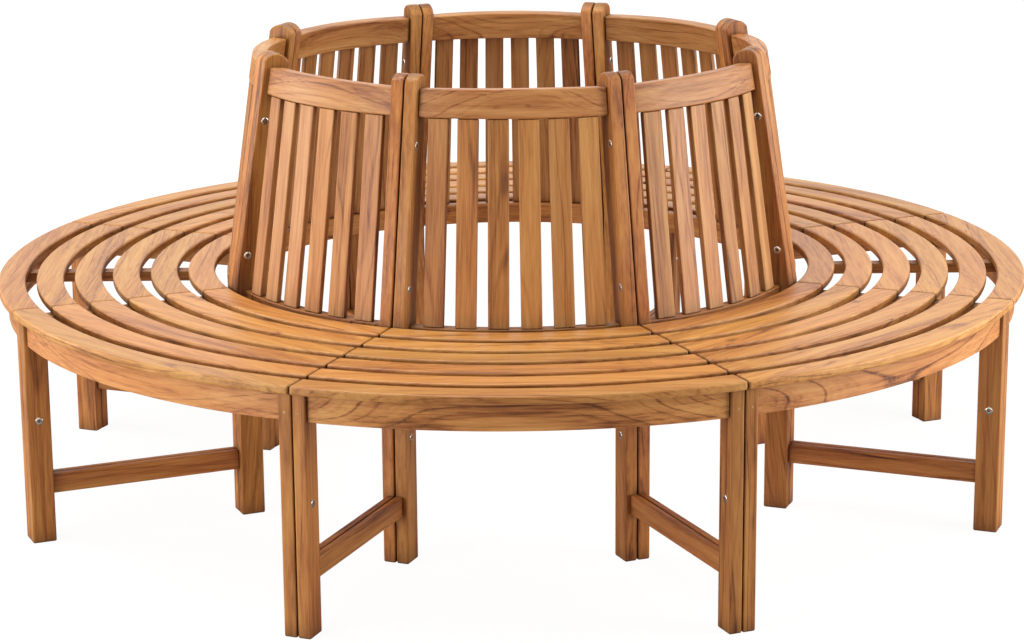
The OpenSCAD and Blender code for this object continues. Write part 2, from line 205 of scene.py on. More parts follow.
    # Sanding leaves the fibres a little proud, and their crests a little duller
    height = add(tree, "ShaderNodeMath", {"operation": "ADD"},
                 {0: layers["fibres"], 1: layers["veins"]})
    relief = add(tree, "ShaderNodeBump", {}, {
        "Strength": RELIEF_STRENGTH, "Distance": RELIEF_DEPTH, "Height": height})
    gloss = add(tree, "ShaderNodeMath", {"operation": "MULTIPLY_ADD"},
                {0: layers["fibres"], 1: SHEEN_SPREAD, 2: SHEEN - SHEEN_SPREAD / 2})
    skin = add(tree, "ShaderNodeBsdfPrincipled", {},
               {"Base Color": shade, "Roughness": gloss, "Normal": relief})
    skin.inputs["Specular IOR Level"].default_value = polish
    add(tree, "ShaderNodeOutputMaterial", {}, {"Surface": skin})
    return wood


# Oiled teak of the frame: thick stock from the heart of the log, the darkest boards
teak_legs = grained_wood("oiled_teak_legs", "#D4954C", "#BC7739", "#884A1E", "#4E260D",
                         figure=1.0)


def group_inputs(tree, **sockets):
    """Gives a node tree a geometry in and out, and a named input for each size."""
    tree.interface.new_socket("Geometry", in_out="OUTPUT", socket_type="NodeSocketGeometry")
    tree.interface.new_socket("Geometry", in_out="INPUT", socket_type="NodeSocketGeometry")
    for name, kind in sockets.items():
        tree.interface.new_socket(name.replace("_", " "), in_out="INPUT",
                                  socket_type="NodeSocket" + kind)
    return add(tree, "NodeGroupInput")


# Marks each board with its grain, then sets copies of it in groups around the ring: a group
# faces its own way, its copies stand side by side or fan out, and each board gets a seed.
MOST_ROWS = 16.0
around = bpy.data.node_groups.new("boards_around_the_ring", "GeometryNodeTree")
given = group_inputs(around, Groups="Int", Copies="Int", First_angle="Float",
                     Copy_angle="Float", Side_step="Float", Grain_along="Vector",
                     Grain_face="Vector", Seed="Int", Material="Material")
row_no = add(around, "GeometryNodeInputNamedAttribute", {"data_type": "INT"}, {"Name": "row"})
spot = add(around, "GeometryNodeInputPosition")
points = add(around, "GeometryNodeAccumulateField", {"data_type": "FLOAT"},
             {"Value": 1.0, "Group ID": row_no})
middle = add(around, "GeometryNodeAccumulateField", {"data_type": "FLOAT_VECTOR"},
             {"Value": spot, "Group ID": row_no})
share = add(around, "ShaderNodeMath", {"operation": "DIVIDE"}, {0: 1.0, 1: points.outputs["Total"]})
middle = add(around, "ShaderNodeVectorMath", {"operation": "SCALE"},
             {0: middle.outputs["Total"], "Scale": share})
spot = add(around, "ShaderNodeVectorMath", {"operation": "SUBTRACT"}, {0: spot, 1: middle})
across = add(around, "ShaderNodeVectorMath", {"operation": "CROSS_PRODUCT"},
             {0: given.outputs["Grain along"], 1: given.outputs["Grain face"]})
parts = [add(around, "ShaderNodeVectorMath", {"operation": "DOT_PRODUCT"}, {0: spot, 1: way})
         for way in (given.outputs["Grain along"], across.outputs[0], given.outputs["Grain face"])]
grain = add(around, "ShaderNodeCombineXYZ", {},
            {k: part.outputs["Value"] for k, part in enumerate(parts)})
normal = add(around, "GeometryNodeInputNormal").outputs["Normal"]
ends = add(around, "ShaderNodeVectorMath", {"operation": "DOT_PRODUCT"},
           {0: normal, 1: given.outputs["Grain along"]})
ends = add(around, "ShaderNodeMath", {"operation": "ABSOLUTE"}, {0: ends.outputs["Value"]})
marked = add(around, "GeometryNodeStoreNamedAttribute",
             {"data_type": "FLOAT_VECTOR", "domain": "CORNER"},
             {"Geometry": given.outputs["Geometry"], "Name": "grain", "Value": grain})
marked = add(around, "GeometryNodeStoreNamedAttribute", {"data_type": "FLOAT", "domain": "FACE"},
             {"Geometry": marked, "Name": "end_grain", "Value": ends})
board = add(around, "GeometryNodeGeometryToInstance", {}, {0: marked})
total = add(around, "ShaderNodeMath", {"operation": "MULTIPLY"},
            {0: given.outputs["Groups"], 1: given.outputs["Copies"]})
many = add(around, "GeometryNodeDuplicateElements", {"domain": "INSTANCE"},
           {"Geometry": board, "Amount": total})
number = many.outputs["Duplicate Index"]
group_no = add(around, "ShaderNodeMath", {"operation": "DIVIDE"},
               {0: number, 1: given.outputs["Copies"]})
group_no = add(around, "ShaderNodeMath", {"operation": "FLOOR"}, {0: group_no})
place_no = add(around, "ShaderNodeMath", {"operation": "MODULO"},
               {0: number, 1: given.outputs["Copies"]})
spare = add(around, "ShaderNodeMath", {"operation": "SUBTRACT"},
            {0: given.outputs["Copies"], 1: 1.0})
half_spare = add(around, "ShaderNodeMath", {"operation": "MULTIPLY"}, {0: spare, 1: 0.5})
from_middle = add(around, "ShaderNodeMath", {"operation": "SUBTRACT"}, {0: place_no, 1: half_spare})
group_turn = add(around, "ShaderNodeMath", {"operation": "DIVIDE"},
                 {0: 2 * math.pi, 1: given.outputs["Groups"]})
angle = add(around, "ShaderNodeMath", {"operation": "MULTIPLY_ADD"},
            {0: group_no, 1: group_turn, 2: given.outputs["First angle"]})
angle = add(around, "ShaderNodeMath", {"operation": "MULTIPLY_ADD"},
            {0: from_middle, 1: given.outputs["Copy angle"], 2: angle})
aside = add(around, "ShaderNodeMath", {"operation": "MULTIPLY"},
            {0: from_middle, 1: given.outputs["Side step"]})
aside = add(around, "ShaderNodeCombineXYZ", {}, {1: aside})
moved = add(around, "GeometryNodeTranslateInstances", {}, {"Instances": many, "Translation": aside})
turned = add(around, "ShaderNodeCombineXYZ", {}, {2: angle})
moved = add(around, "GeometryNodeRotateInstances", {},
            {"Instances": moved, "Rotation": turned, "Local Space": False})
moved = add(around, "GeometryNodeStoreNamedAttribute", {"data_type": "INT", "domain": "INSTANCE"},
            {"Geometry": moved, "Name": "copy", "Value": number})
real = add(around, "GeometryNodeRealizeInstances", {}, {0: moved})
copy_no = add(around, "GeometryNodeInputNamedAttribute", {"data_type": "INT"}, {"Name": "copy"})
board_no = add(around, "ShaderNodeMath", {"operation": "MULTIPLY_ADD"},
               {0: copy_no, 1: MOST_ROWS, 2: row_no})
chance = add(around, "FunctionNodeRandomValue", {"data_type": "FLOAT_VECTOR"},
             {"ID": board_no, "Seed": given.outputs["Seed"]})
real = add(around, "GeometryNodeStoreNamedAttribute",
           {"data_type": "FLOAT_VECTOR", "domain": "POINT"},
           {"Geometry": real, "Name": "board_seed", "Value": chance})
real = add(around, "GeometryNodeSetMaterial", {},
           {"Geometry": real, "Material": given.outputs["Material"]})
add(around, "NodeGroupOutput", {}, {0: real})


def apply_trees(blank, name, *steps):
    """Runs node trees on a blank board and keeps the result as one plain mesh piece."""
    for tree, sizes in steps:
        modifier = blank.modifiers.new(tree.name, "NODES")
        modifier.node_group = tree
        for socket in tree.interface.items_tree:
            if socket.in_out == "INPUT" and socket.name in sizes:
                modifier[socket.identifier] = sizes[socket.name]
    graph = bpy.context.evaluated_depsgraph_get()
    graph.update()
    mesh = bpy.data.meshes.new_from_object(blank.evaluated_get(graph), depsgraph=graph)
    blank.modifiers.clear()
    bpy.data.objects.remove(blank)
    mesh.name = name
    piece = bpy.data.objects.new(name, mesh)
    bpy.context.scene.collection.objects.link(piece)
    return piece


def sawn_blank(*boards):
    """Lofts each board through its rings of points and closes it at both ends."""
    points, faces = [], []
    for rings in boards:
        start, count = len(points), len(rings[0])
        points += [p for ring in rings for p in ring]
        for k in range(len(rings) - 1):
            low, high = start + k * count, start + (k + 1) * count
            faces += [[low + j, low + (j + 1) % count, high + (j + 1) % count, high + j]
                      for j in range(count)]
        faces += [[start + j for j in reversed(range(count))],
                  [start + (len(rings) - 1) * count + j for j in range(count)]]
    mesh = bpy.data.meshes.new("blank")
    mesh.from_pydata(points, [], faces)
    mesh.validate()
    if len(boards) > 1:
        row_numbers = [k for k, rings in enumerate(boards) for ring in rings for _ in ring]
        mesh.attributes.new("row", "INT", "POINT").data.foreach_set("value", row_numbers)
    blank = bpy.data.objects.new("blank", mesh)
    bpy.context.scene.collection.objects.link(blank)
    return blank


def straight_bar(inner, outer, width, low, high):
    """A square-edged bar that points outward from one radius to another, centred on y = 0."""
    half = width / 2
    return sawn_blank([[(x, -half, low), (x, half, low), (x, half, high), (x, -half, high)]
                       for x in (inner, outer)])


SHARP_CORNER = math.radians(35)
EDGE_STEPS = 3


def ease_edges(piece, radius):
    """Sands the sharp edges of a finished piece to a small radius."""
    piece.data.polygons.foreach_set("use_smooth", [True] * len(piece.data.polygons))
    bevel = piece.modifiers.new("eased_edges", "BEVEL")
    bevel.width = radius
    bevel.segments = EDGE_STEPS
    bevel.limit_method = "ANGLE"
    bevel.angle_limit = SHARP_CORNER
    bevel.harden_normals = True


def fit_piece(piece, finish, *nodes):
    """Sets a piece on the bench's one body and hides the plain solids it stands for; finish is not
    used.
    """
    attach(piece, "root")
    if nodes:
        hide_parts(*nodes)


def every_section(kind):
    """The names of one kind of solid in all eight sections."""
    return [f"{kind}_{k}" for k in range(1, SECTIONS + 1)]


UP, OUTWARD, SIDEWAYS = (0, 0, 1), (1, 0, 0), (0, 1, 0)
# A piece's seed picks where its boards lay in the log, and so their figure and tone
joint_pair = {"Groups": SECTIONS, "Copies": 2, "First angle": FIRST_JOINT,
              "Material": teak_legs}
leg = straight_bar(LEG_BACK, LEG_FACE, LEG_WIDTH, 0, SLAT_UNDERSIDE)
front_legs = apply_trees(leg, "front_legs", (around, {
    **joint_pair, "Side step": JOINT_GAP + LEG_WIDTH,
    "Grain along": UP, "Grain face": SIDEWAYS, "Seed": 3}))
ease_edges(front_legs, LEG_EDGE)
fit_piece(front_legs, "teak_legs", *every_section("front_legs"))

# ---------------------------------------------------------------- back posts
# Each back post is sawn from one piece of teak: upright below the seat, leaning toward the
# tree above it, and rounded over at the top. It is bolted to its neighbour like the legs. Its
# edges are eased well, because hands and backs meet them.
LEAN = math.radians(9.4)
SEAT_TOP = 448 * MM
POST_FACE = 578.5 * MM
POST_DEPTH = 46 * MM
POST_THICKNESS = 49 * MM
POST_CROWN = 16 * MM
POST_EDGE = 3.5 * MM
CROWN_STEPS = 12
BACK_TOP = 891 * MM
POST_TIP = (BACK_TOP - SEAT_TOP + POST_THICKNESS / 2 * math.sin(LEAN)) / math.cos(LEAN)
HALF_UP_THE_LEAN = (-math.sin(LEAN / 2), 0, math.cos(LEAN / 2))
OFF_THE_LEAN = (math.cos(LEAN), 0, math.sin(LEAN))


def on_lean(back, up):
    """Radius and height of a point so far behind the posts' faces and so far up the lean."""
    return (POST_FACE - back * math.cos(LEAN) - up * math.sin(LEAN),
            SEAT_TOP - back * math.sin(LEAN) + up * math.cos(LEAN))


crown_radius = (POST_THICKNESS ** 2 / 4 + POST_CROWN ** 2) / (2 * POST_CROWN)
crown_half = math.asin(POST_THICKNESS / 2 / crown_radius)
post_back = POST_FACE - POST_DEPTH
outline = [(post_back, 0), (POST_FACE, 0), (POST_FACE, SEAT_TOP)]
for k in range(CROWN_STEPS + 1):
    swing = crown_half * (1 - 2 * k / CROWN_STEPS)
    outline.append(on_lean(POST_THICKNESS / 2 - crown_radius * math.sin(swing),
                           POST_TIP - crown_radius * (1 - math.cos(swing))))
knee = SEAT_TOP + (POST_FACE - POST_THICKNESS / math.cos(LEAN) - post_back) / math.tan(LEAN)
outline.append((post_back, knee))
post = sawn_blank([[(x, y, z) for x, z in outline] for y in (LEG_WIDTH / 2, -LEG_WIDTH / 2)])
back_posts = apply_trees(post, "back_posts", (around, {
    **joint_pair, "Side step": JOINT_GAP + LEG_WIDTH,
    "Grain along": HALF_UP_THE_LEAN, "Grain face": SIDEWAYS, "Seed": 11}))
ease_edges(back_posts, POST_EDGE)
fit_piece(back_posts, "teak_legs", *every_section("back_posts"))

# ---------------------------------------------------------------- stretchers
# A thin flat teak bar low down ties each front leg to the back post behind it. It is tenoned
# into both, close to the joint's side, so two of them run side by side at every joint.
STRETCHER_WIDTH = 14 * MM
STRETCHER_FOOT = 91 * MM
STRETCHER_HEIGHT = 38 * MM
STRETCHER_EDGE = 2.5 * MM
bar = straight_bar(POST_FACE, LEG_BACK, STRETCHER_WIDTH,
                   STRETCHER_FOOT, STRETCHER_FOOT + STRETCHER_HEIGHT)
stretchers = apply_trees(bar, "low_stretchers", (around, {
    **joint_pair, "Side step": JOINT_GAP + STRETCHER_WIDTH,
    "Grain along": OUTWARD, "Grain face": SIDEWAYS, "Seed": 5}))
ease_edges(stretchers, STRETCHER_EDGE)
fit_piece(stretchers, "teak_bars", *every_section("stretchers"))

# ---------------------------------------------------------------- bearers under the seat
# A teak bearer runs along each end frame, tenoned into leg and post, and a flat one along the
# middle of the section, let into the apron. The slats are screwed to them from below.
BEARER_WIDTH = 18 * MM
BEARER_HEIGHT = 45 * MM
BEARER_EDGE = 2 * MM
bar = straight_bar(POST_FACE, LEG_BACK, BEARER_WIDTH,
                   SLAT_UNDERSIDE - BEARER_HEIGHT, SLAT_UNDERSIDE)
end_bearers = apply_trees(bar, "end_bearers", (around, {
    **joint_pair, "Side step": JOINT_GAP + BEARER_WIDTH,
    "Grain along": OUTWARD, "Grain face": SIDEWAYS, "Seed": 7}))
ease_edges(end_bearers, BEARER_EDGE)
fit_piece(end_bearers, "teak_bars", *every_section("seat_bearers"))

MIDDLE_WIDTH = 30 * MM
MIDDLE_THICKNESS = 20 * MM
APRON_BACK = 960 * MM
MIDDLE_BACK = 589 * MM
whole_ring = {"Groups": SECTIONS, "Copies": 1, "First angle": FRONT}
bar = straight_bar(MIDDLE_BACK, APRON_BACK, MIDDLE_WIDTH,
                   SLAT_UNDERSIDE - MIDDLE_THICKNESS, SLAT_UNDERSIDE)
middle_bearers = apply_trees(bar, "middle_bearers", (around, {
    **whole_ring, "Grain along": OUTWARD, "Grain face": UP,
    "Seed": 8, "Material": teak_legs}))
ease_edges(middle_bearers, BEARER_EDGE)
fit_piece(middle_bearers, "teak_bars")

# ---------------------------------------------------------------- curved rails
# The apron under the seat's edge, the seat rail and the top rail are band-sawn to their arcs
# from straight teak planks, so the grain runs straight across and off the curved faces. They
# are tenoned into the legs and posts.
APRON_FACE = 982 * MM
APRON_HEIGHT = 50 * MM
RAIL_EDGE = 2.5 * MM
FRAME_END = JOINT_GAP / 2 + LEG_WIDTH
ARC_STEPS = 30

# Bends rows of straight blanks round the ring's axis: x is the radius, y runs from -1 to 1
# between the section's two ends, which are cut parallel to the joints.
bent = bpy.data.node_groups.new("boards_bent_to_arcs", "GeometryNodeTree")
given = group_inputs(bent, Rows="Int", Row_pitch="Float", Half_angle="Float", End_gap="Float")
board = add(bent, "GeometryNodeGeometryToInstance", {}, {0: given.outputs["Geometry"]})
many = add(bent, "GeometryNodeDuplicateElements", {"domain": "INSTANCE"},
           {"Geometry": board, "Amount": given.outputs["Rows"]})
rows = add(bent, "GeometryNodeStoreNamedAttribute", {"data_type": "INT", "domain": "INSTANCE"},
           {"Geometry": many, "Name": "row", "Value": many.outputs["Duplicate Index"]})
rows = add(bent, "GeometryNodeRealizeInstances", {}, {0: rows})
row_no = add(bent, "GeometryNodeInputNamedAttribute", {"data_type": "INT"}, {"Name": "row"})
flat = add(bent, "ShaderNodeSeparateXYZ", {}, {0: add(bent, "GeometryNodeInputPosition")})
inward = add(bent, "ShaderNodeMath", {"operation": "MULTIPLY"},
             {0: row_no, 1: given.outputs["Row pitch"]})
radius = add(bent, "ShaderNodeMath", {"operation": "SUBTRACT"}, {0: flat.outputs["X"], 1: inward})
cut = add(bent, "ShaderNodeMath", {"operation": "DIVIDE"}, {0: given.outputs["End gap"], 1: radius})
cut = add(bent, "ShaderNodeMath", {"operation": "ARCSINE"}, {0: cut})
reach = add(bent, "ShaderNodeMath", {"operation": "SUBTRACT"},
            {0: given.outputs["Half angle"], 1: cut})
swing = add(bent, "ShaderNodeMath", {"operation": "MULTIPLY"}, {0: reach, 1: flat.outputs["Y"]})
cosine = add(bent, "ShaderNodeMath", {"operation": "COSINE"}, {0: swing})
sine = add(bent, "ShaderNodeMath", {"operation": "SINE"}, {0: swing})
bent_x = add(bent, "ShaderNodeMath", {"operation": "MULTIPLY"}, {0: radius, 1: cosine})
bent_y = add(bent, "ShaderNodeMath", {"operation": "MULTIPLY"}, {0: radius, 1: sine})
place = add(bent, "ShaderNodeCombineXYZ", {}, {0: bent_x, 1: bent_y, 2: flat.outputs["Z"]})
rows = add(bent, "GeometryNodeSetPosition", {}, {"Geometry": rows, "Position": place})
add(bent, "NodeGroupOutput", {}, {0: rows})


def arc_blank(corners):
    """A straight blank with its section's corners (radius, height) at each step of the arc."""
    stations = [2 * k / ARC_STEPS - 1 for k in range(ARC_STEPS + 1)]
    return sawn_blank([[(x, t, z) for x, z in corners(t)] for t in stations])


def rail_blank(outer, inner, low, high):
    """A straight blank of one even section."""
    return arc_blank(lambda t: [(inner, low), (inner, high), (outer, high), (outer, low)])


# Oiled teak of the aprons: wide plain-sawn planks, paler, with long arches on the face
teak_apron = grained_wood("oiled_teak_apron", "#EDAD65", "#DB924E", "#A5602E", "#653615",
                          figure=1.1)
upright_board = {**whole_ring, "Grain along": SIDEWAYS, "Grain face": OUTWARD,
                 "Material": teak_legs}
between_legs = {"Rows": 1, "Half angle": SECTION_TURN / 2, "End gap": FRAME_END}
apron = rail_blank(APRON_FACE, APRON_BACK, SLAT_UNDERSIDE - APRON_HEIGHT, SLAT_UNDERSIDE)
aprons = apply_trees(apron, "aprons", (bent, between_legs),
                     (around, {**upright_board, "Seed": 36, "Material": teak_apron}))
ease_edges(aprons, RAIL_EDGE)
fit_piece(aprons, "teak_rails", *every_section("rails"))

SEAT_RAIL_FACE = 559.5 * MM
SEAT_RAIL_BACK = 534.5 * MM
SEAT_RAIL_HEIGHT = 42 * MM
SEAT_RAIL_TOP = 445.5 * MM
seat_rail = rail_blank(SEAT_RAIL_FACE, SEAT_RAIL_BACK,
                       SEAT_RAIL_TOP - SEAT_RAIL_HEIGHT, SEAT_RAIL_TOP)
seat_rails = apply_trees(seat_rail, "seat_rails", (bent, between_legs),
                         (around, {**upright_board, "Seed": 22}))
ease_edges(seat_rails, RAIL_EDGE)
fit_piece(seat_rails, "teak_rails")

# Oiled teak of the back: even boards with a quiet figure, where people lean
teak_back = grained_wood("oiled_teak_back", "#DBA363", "#C48549", "#935529", "#582E13",
                         figure=0.9)
TOP_RAIL_FACE = 11 * MM
TOP_RAIL_THICKNESS = 29 * MM
TOP_RAIL_BACK = TOP_RAIL_FACE + TOP_RAIL_THICKNESS
TOP_RAIL_DROP = 24 * MM
TOP_RAIL_HEIGHT = 53 * MM
TOP_RAIL_HIGH = POST_TIP - TOP_RAIL_DROP
TOP_RAIL_LOW = TOP_RAIL_HIGH - TOP_RAIL_HEIGHT
TOP_RAIL_SLOPE = math.tan(math.radians(5))
TOP_RAIL_EDGE = 3 * MM


def top_rail_corners(t):
    """The top rail leans with the posts and its top falls off toward the tree and the ends."""
    low_face, low_back = [on_lean(x, TOP_RAIL_LOW) for x in (TOP_RAIL_FACE, TOP_RAIL_BACK)]
    high_face, high_back = [on_lean(x, TOP_RAIL_HIGH) for x in (TOP_RAIL_FACE, TOP_RAIL_BACK)]
    corners = [low_back]
    for x in (high_back[0], high_face[0]):
        swing = t * (SECTION_TURN / 2 - math.asin(FRAME_END / x))
        corners.append((x, high_face[1] - (high_face[0] - x * math.cos(swing)) * TOP_RAIL_SLOPE))
    return corners + [low_face]


top_rails = apply_trees(
    arc_blank(top_rail_corners), "top_rails", (bent, between_legs),
    (around, {**upright_board, "Grain face": OFF_THE_LEAN,
              "Seed": 23, "Material": teak_back}))
ease_edges(top_rails, TOP_RAIL_EDGE)
fit_piece(top_rails, "teak_rails")

# ---------------------------------------------------------------- seat slats
# Six curved slats to a section, sawn from teak boards, laid with a finger's gap between them
# and screwed down from below. Their edges are well rounded, and they meet the next section's
# slats at a thin mitred line.
SEAT_RADIUS = 1000 * MM
SEAT_SLATS = 6
SLAT_WIDTH = 52 * MM
SLAT_GAP = 21 * MM
SLAT_EDGE = 4.5 * MM
# Oiled teak of the seat: the palest boards, polished by use, so they shine a little more
teak_seat = grained_wood("oiled_teak_seat", "#E8AC5C", "#D48F46", "#AB6727", "#6E3B13",
                         figure=0.95, polish=0.5)
slat = rail_blank(SEAT_RADIUS, SEAT_RADIUS - SLAT_WIDTH, SLAT_UNDERSIDE, SEAT_TOP)
seat_slats = apply_trees(
    slat, "curved_seat_slats",
    (bent, {"Rows": SEAT_SLATS, "Row pitch": SLAT_WIDTH + SLAT_GAP,
            "Half angle": SECTION_TURN / 2, "End gap": JOINT_GAP / 2}),
    (around, {**whole_ring, "Grain along": SIDEWAYS, "Grain face": UP,
              "Seed": 31, "Material": teak_seat}))
ease_edges(seat_slats, SLAT_EDGE)
fit_piece(seat_slats, "teak_seat", *every_section("seat_slats"))

# ---------------------------------------------------------------- back slats
# Six upright teak slats of even width fan out in each back, tenoned into the seat rail and
# the top rail. They are planed thin; their heads stand just behind the top rail's face.
BACK_SLATS = 6
BACK_SLAT_WIDTH = 38 * MM
BACK_SLAT_THICKNESS = 11 * MM
BACK_SLAT_HEAD = 13 * MM
BACK_SLAT_FOOT = 21 * MM
BACK_SLAT_TURN = math.radians(6.15)
BACK_SLAT_EDGE = 2.5 * MM
slat_swing = math.atan((BACK_SLAT_FOOT - BACK_SLAT_HEAD) / TOP_RAIL_LOW)
SLAT_LEAN = LEAN - slat_swing
UP_THE_SLAT = (-math.sin(SLAT_LEAN), 0, math.cos(SLAT_LEAN))
OFF_THE_SLAT = (math.cos(SLAT_LEAN), 0, math.sin(SLAT_LEAN))
side_view = []
for depth in (BACK_SLAT_THICKNESS, 0):
    back = BACK_SLAT_HEAD + depth / math.cos(slat_swing)
    head = on_lean(back, TOP_RAIL_LOW)
    fall = head[1] - SEAT_RAIL_TOP
    foot = (head[0] + fall * math.tan(SLAT_LEAN), SEAT_RAIL_TOP)
    side_view += [foot, head] if side_view else [head, foot]
slat = sawn_blank([[(x, y, z) for x, z in side_view]
                   for y in (-BACK_SLAT_WIDTH / 2, BACK_SLAT_WIDTH / 2)])
back_slats = apply_trees(slat, "upright_back_slats", (around, {
    "Groups": SECTIONS, "Copies": BACK_SLATS, "First angle": FRONT, "Copy angle": BACK_SLAT_TURN,
    "Grain along": UP_THE_SLAT, "Grain face": OFF_THE_SLAT,
    "Seed": 41, "Material": teak_back}))
ease_edges(back_slats, BACK_SLAT_EDGE)
fit_piece(back_slats, "teak_back", *every_section("back_slats"))

# ---------------------------------------------------------------- joint bolts and cap nuts
# Four stainless steel bolts tie the frames together at every joint. Each screws into a sleeve
# nut put in from the other side, and both have the same flat round head with a hexagon socket.
HEAD_RADIUS = 7.25 * MM
HEAD_SUNK = 1.5 * MM
HEAD_SEAT = FRAME_END - HEAD_SUNK
HEAD_HEIGHT = 2.5 * MM
# The rounded rim of a head, from the edge inward: distance in from the edge, height
HEAD_RIM = [(0, 1.4 * MM), (0.25 * MM, 1.75 * MM), (0.75 * MM, 2.05 * MM), (1.45 * MM, 2.28 * MM),
            (2.45 * MM, 2.43 * MM)]
# A 5 mm hexagon key fits the socket; this is the radius to its corners
SOCKET_ROUND = 5 / math.sqrt(3) * MM
SOCKET_DEPTH = 2 * MM
SOCKET_LIP, SOCKET_EDGE, SOCKET_DIP = 0.6 * MM, 0.1 * MM, 0.2 * MM
HEAD_POINTS = 36
BOLT_RADIUS, BOLT_LENGTH = 3 * MM, 44.5 * MM
SLEEVE_RADIUS, SLEEVE_LENGTH = 4.5 * MM, 20 * MM
LEG_BOLT = 237 * MM
LOW_POST_BOLT = SEAT_TOP + 64 * MM
HIGH_POST_BOLT = BACK_TOP - 125 * MM
POST_BOLT_INSET = 15.5 * MM


def bolt_on_post(height):
    """Radius and height of a bolt in the leaning part of a post."""
    up = (height - SEAT_TOP + POST_BOLT_INSET * math.sin(LEAN)) / math.cos(LEAN)
    return on_lean(POST_BOLT_INSET, up)


joint_bolt_places = [(LEG_FACE - LEG_DEPTH / 2, LEG_BOLT), (POST_FACE - POST_DEPTH / 2, LEG_BOLT),
                     bolt_on_post(LOW_POST_BOLT), bolt_on_post(HIGH_POST_BOLT)]


def socket_heads(side, stem, length):
    """The heads of a joint's four bolts on one side, each with its stem and hexagon socket."""
    turns = [2 * math.pi * k / HEAD_POINTS * side for k in range(HEAD_POINTS)]
    round_share = [1.0] * HEAD_POINTS
    hexagon_share = [math.cos(math.pi / 6) / math.cos(t % (math.pi / 3) - math.pi / 6)
                     for t in turns]
    profile = [(stem, -length, round_share), (stem, 0, round_share), (HEAD_RADIUS, 0, round_share)]
    profile += [(HEAD_RADIUS - inward, out, round_share) for inward, out in HEAD_RIM]
    profile += [(SOCKET_ROUND + SOCKET_LIP, HEAD_HEIGHT, round_share),
                (SOCKET_ROUND + SOCKET_EDGE, HEAD_HEIGHT - SOCKET_DIP, hexagon_share),
                (SOCKET_ROUND, HEAD_HEIGHT - SOCKET_DEPTH, hexagon_share)]
    return sawn_blank(*[
        [[(x + radius * share * math.cos(t), -side * (HEAD_SEAT + out),
           z + radius * share * math.sin(t)) for t, share in zip(turns, shares)]
         for radius, out, shares in profile]
        for x, z in joint_bolt_places])


# Stainless steel, turned on a lathe: bright, with rings round the axis that blur the reflection,
# about 0.3 mm apart and so coarser than real tool marks; the socket is painted dark for dirt and
# painted shade
SOCKET_DIRT_AND_SHADE_TO, HEAD_BRIGHT_FROM = 0.37, 0.42
LATHE_RINGS = 25.0
STEEL_GLOSS, STEEL_GLOSS_SPREAD = 0.1, 0.2
stainless = bpy.data.materials.new("turned_stainless_steel")
stainless.use_nodes = True
tree = stainless.node_tree
tree.nodes.clear()
place = add(tree, "ShaderNodeAttribute", {"attribute_name": "grain"}).outputs["Vector"]
place = add(tree, "ShaderNodeVectorMath", {"operation": "MULTIPLY"}, {0: place, 1: (0, 1, 1)})
radius = add(tree, "ShaderNodeVectorMath", {"operation": "LENGTH"}, {0: place}).outputs["Value"]
share = add(tree, "ShaderNodeMath", {"operation": "MULTIPLY"}, {0: radius, 1: 1 / HEAD_RADIUS})
# The socket, near the axis, is coloured dark: dirt, and painted shade standing in for the shade in
# its recess
tint = add(tree, "ShaderNodeValToRGB", {}, {"Fac": share})
stops = tint.color_ramp.elements
stops[0].position, stops[1].position = SOCKET_DIRT_AND_SHADE_TO, HEAD_BRIGHT_FROM
stops[0].color, stops[1].color = colour("#3A332C"), colour("#CFC9C0")
marks = add(tree, "ShaderNodeTexNoise", {"noise_dimensions": "1D"},
            {"W": share, "Scale": LATHE_RINGS, "Detail": 2.0})
gloss = add(tree, "ShaderNodeMath", {"operation": "MULTIPLY_ADD"},
            {0: marks, 1: STEEL_GLOSS_SPREAD, 2: STEEL_GLOSS})
skin = add(tree, "ShaderNodeBsdfPrincipled", {},
           {"Base Color": tint, "Metallic": 1.0, "Roughness": gloss})
add(tree, "ShaderNodeOutputMaterial", {}, {"Surface": skin})

every_joint = {"Groups": SECTIONS, "Copies": 1, "First angle": FIRST_JOINT, "Grain along": SIDEWAYS,
               "Grain face": UP, "Material": stainless}
socket_bolts = apply_trees(socket_heads(1, BOLT_RADIUS, BOLT_LENGTH), "socket_bolts",
                           (around, every_joint))
cap_nuts = apply_trees(socket_heads(-1, SLEEVE_RADIUS, SLEEVE_LENGTH), "cap_nuts",
                       (around, every_joint))
TURNED_EDGE = math.radians(40)


def smooth_round(piece, sharpest):
    """Shades a turned piece smooth, apart from edges sharper than an angle."""
    piece.data.polygons.foreach_set("use_smooth", [True] * len(piece.data.polygons))
    piece.data.set_sharp_from_angle(angle=sharpest)


for piece, node in ((socket_bolts, "joint_bolts"), (cap_nuts, "sleeve_nuts")):
    smooth_round(piece, TURNED_EDGE)
    fit_piece(piece, "steel", node)

# ---------------------------------------------------------------- tenon pins
# A turned beech pin is driven through each apron tenon from the leg's face and cut off just
# proud of it, so its end grain shows as a small round dot.
PIN_RADIUS = 2.5 * MM
PIN_LENGTH = 28 * MM
PIN_PROUD, PIN_EDGE_HEIGHT, PIN_EDGE_WIDTH = 0.5 * MM, 0.3 * MM, 0.4 * MM
PIN_ASIDE = FRAME_END - LEG_WIDTH / 2
PIN_DROP = 33 * MM
PIN_HEIGHT = SLAT_UNDERSIDE - PIN_DROP
PIN_POINTS = 24
PIN_END_CORNER = math.radians(30)
pin_turns = [2 * math.pi * k / PIN_POINTS for k in range(PIN_POINTS)]
pin_profile = [(PIN_RADIUS, LEG_FACE - PIN_LENGTH),
               (PIN_RADIUS, LEG_FACE + PIN_PROUD - PIN_EDGE_HEIGHT),
               (PIN_RADIUS - PIN_EDGE_WIDTH, LEG_FACE + PIN_PROUD)]
pins = [[[(x, side * PIN_ASIDE + radius * math.cos(t), PIN_HEIGHT + radius * math.sin(t))
          for t in pin_turns] for radius, x in pin_profile]
        for side in (-1, 1)]
